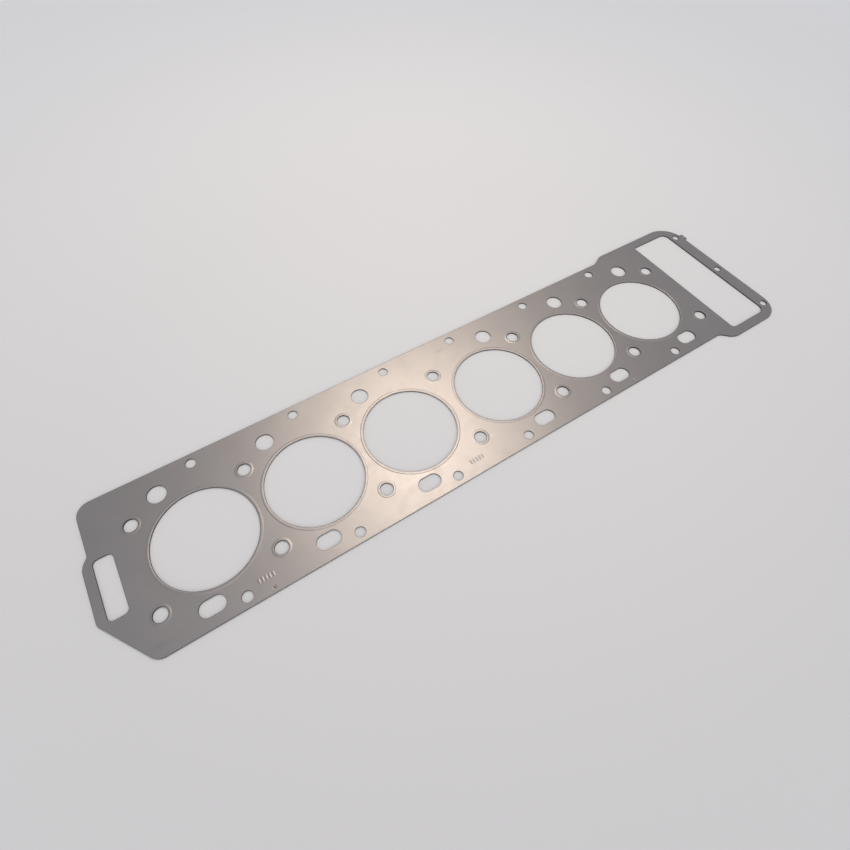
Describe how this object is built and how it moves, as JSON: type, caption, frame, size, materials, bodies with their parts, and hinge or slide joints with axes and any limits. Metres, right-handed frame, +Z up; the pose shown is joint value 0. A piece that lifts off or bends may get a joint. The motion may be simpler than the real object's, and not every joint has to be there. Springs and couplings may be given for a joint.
{
  "type": "cylinder head gasket",
  "caption": "Long embossed steel head gasket for an in-line engine, with ringed bores, bolt and water holes, an oil slot and a frame round the timing chest.",
  "frame": {"origin": "middle of the web between the third and fourth bores, midway between its two head bolt holes, on the plane that the gasket lies on", "axes": "+X along the bore row to the timing-chain end, +Y across to the side with the round water holes, +Z up to the cylinder head"},
  "size_m": [0.8289, 0.196, 0.0018],
  "materials": {
    "active_steel": "satin rolled spring steel, warm grey",
    "carrier_steel": "bare cold-rolled steel with a sheared edge",
    "rivet_steel": "dull upset rivet heads"
  },
  "bodies": {
    "root": {"top_active_sheet": "active_steel", "carrier_sheet": "carrier_steel", "bottom_active_sheet": "active_steel", "rear_rivet": "rivet_steel", "timing_rivet": "rivet_steel", "ear_rivet": "rivet_steel"}
  },
  "joints": []
}
